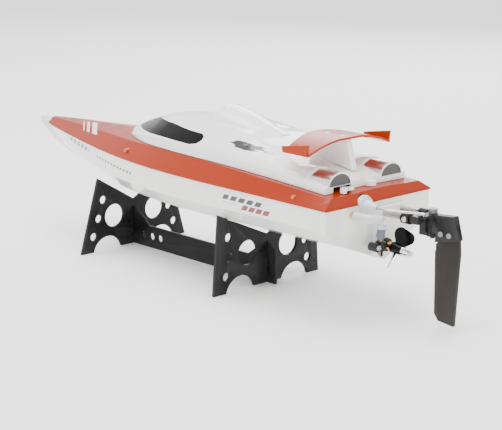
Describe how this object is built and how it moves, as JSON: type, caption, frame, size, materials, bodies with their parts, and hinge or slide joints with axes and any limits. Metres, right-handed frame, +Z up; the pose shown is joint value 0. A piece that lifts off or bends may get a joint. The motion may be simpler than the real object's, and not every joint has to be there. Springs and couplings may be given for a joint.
{
  "type": "rc boat",
  "caption": "Radio-controlled deep-V racing boat with lift-off cover, swinging rudder, spinning screw and slotted display stand.",
  "frame": {"origin": "centre of the overall footprint, on the surface under the stand", "axes": "+X towards the bow, +Y to port, +Z up"},
  "size_m": [0.4548, 0.1101, 0.1304],
  "materials": {
    "hull_white": "gloss",
    "bumper_grey": "satin",
    "deck_orange": "metallic gloss",
    "cleat_orange": "gloss",
    "lid_clear": "satin",
    "seal_rubber": "matte",
    "black_plastic": "satin",
    "cover_white": "gloss",
    "screen_black": "gloss",
    "pod_silver": "metallic",
    "pod_grey": "satin",
    "bright_steel": "polished",
    "brass": "polished",
    "aluminium": "satin",
    "motor_silver": "satin",
    "white_plastic": "matte",
    "prop_black": "gloss",
    "chrome": "polished",
    "bolt_black": "satin",
    "blade_black": "satin",
    "boot_clear": "translucent",
    "servo_black": "satin",
    "tube_steel": "polished",
    "hose_clear": "translucent",
    "battery_wrap": "gloss",
    "strap_fabric": "matte",
    "wire_red": "satin",
    "wire_black": "satin",
    "stand_black": "satin"
  },
  "bodies": {
    "stand": {"stand_front_plate": "stand_black", "stand_rear_plate": "stand_black", "stand_bar": "stand_black"},
    "cover": {"hatch_cover": "cover_white", "windshield": "screen_black", "pod_inserts": "pod_silver", "pod_faces": "pod_grey", "wing_strut": "cover_white", "rear_wing": "deck_orange", "wing_screws": "bright_steel"},
    "inner_lid": {"inner_hatch": "lid_clear", "inner_hatch_seal": "seal_rubber", "inner_hatch_knobs": "black_plastic"},
    "latch": {"cover_latch": "cover_white"},
    "rudder": {"rudder_holder": "black_plastic", "rudder_blade": "blade_black", "rudder_screws": "bolt_black", "tiller_arm": "black_plastic"},
    "steering_rod": {"push_rod": "bright_steel"},
    "horn": {"servo_horn": "white_plastic"},
    "prop": {"propeller": "prop_black", "prop_nut": "chrome", "drive_shaft": "bright_steel", "shaft_coupling": "aluminium", "motor_shaft": "bright_steel"},
    "boat": {"arm_nuts": "bright_steel", "battery_pack": "battery_wrap", "battery_strap": "strap_fabric", "bow_bumper": "bumper_grey", "collar_screws": "bright_steel", "cooling_hose": "hose_clear", "deck": "deck_orange", "deck_cleats": "cleat_orange", "equipment_tray": "white_plastic", "hose_fitting": "brass", "hull": "hull_white", "inlet_hose": "hose_clear", "latch_screw": "bright_steel", "motor_can": "motor_silver", "motor_endbell": "black_plastic", "motor_mount": "white_plastic", "motor_screws": "bright_steel", "outlet_hose": "hose_clear", "pickup_clamp": "black_plastic", "pickup_tube": "tube_steel", "power_leads": "wire_red", "receiver_unit": "servo_black", "rod_boot": "boot_clear", "rudder_arms": "chrome", "rudder_bracket": "black_plastic", "rudder_pivot_bolt": "bolt_black", "servo_case": "servo_black", "servo_lead": "wire_black", "servo_mount": "white_plastic", "servo_screws": "bright_steel", "shaft_bearings": "brass", "shaft_sleeve": "brass", "stern_tube": "brass", "water_jacket": "aluminium", "water_outlet": "brass"}
  },
  "joints": [
    {"name": "boat_lift", "type": "slide", "parent": "stand", "child": "boat", "axis": [0, 0, 1], "range_m": [0, 0.08]},
    {"name": "cover_lift", "type": "slide", "parent": "boat", "child": "cover", "axis": [0, 0, 1], "range_m": [0, 0.08]},
    {"name": "inner_lid_lift", "type": "slide", "parent": "boat", "child": "inner_lid", "axis": [0, 0, 1], "range_m": [0, 0.04]},
    {"name": "latch_turn", "type": "hinge", "parent": "boat", "child": "latch", "pos_m": [-0.15575, 0.028, 0.0915], "axis": [0, 0, 1], "range_deg": [0, 90]},
    {"name": "rudder_swing", "type": "hinge", "parent": "boat", "child": "rudder", "pos_m": [-0.20355, -0.0085, 0.072], "axis": [0, 0, 1], "range_deg": [-30, 30]},
    {"name": "push_rod_slide", "type": "slide", "parent": "boat", "child": "steering_rod", "axis": [1, 0, 0], "range_m": [-0.006, 0.006]},
    {"name": "servo_horn_turn", "type": "hinge", "parent": "boat", "child": "horn", "pos_m": [-0.12655, 0.0247, 0.077], "axis": [0, 0, 1], "range_deg": [-30, 30]},
    {"name": "propeller_spin", "type": "hinge", "parent": "boat", "child": "prop", "pos_m": [-0.18555, 0, 0.05058], "axis": [0.9934, 0, 0.1144], "continuous": true}
  ],
  "couplings": [
    {"joint": "inner_lid_lift", "follows": "cover_lift", "ratio": 0.5},
    {"joint": "push_rod_slide", "follows": "rudder_swing", "m_per_rad": -0.0099},
    {"joint": "servo_horn_turn", "follows": "rudder_swing", "ratio": -1}
  ]
}
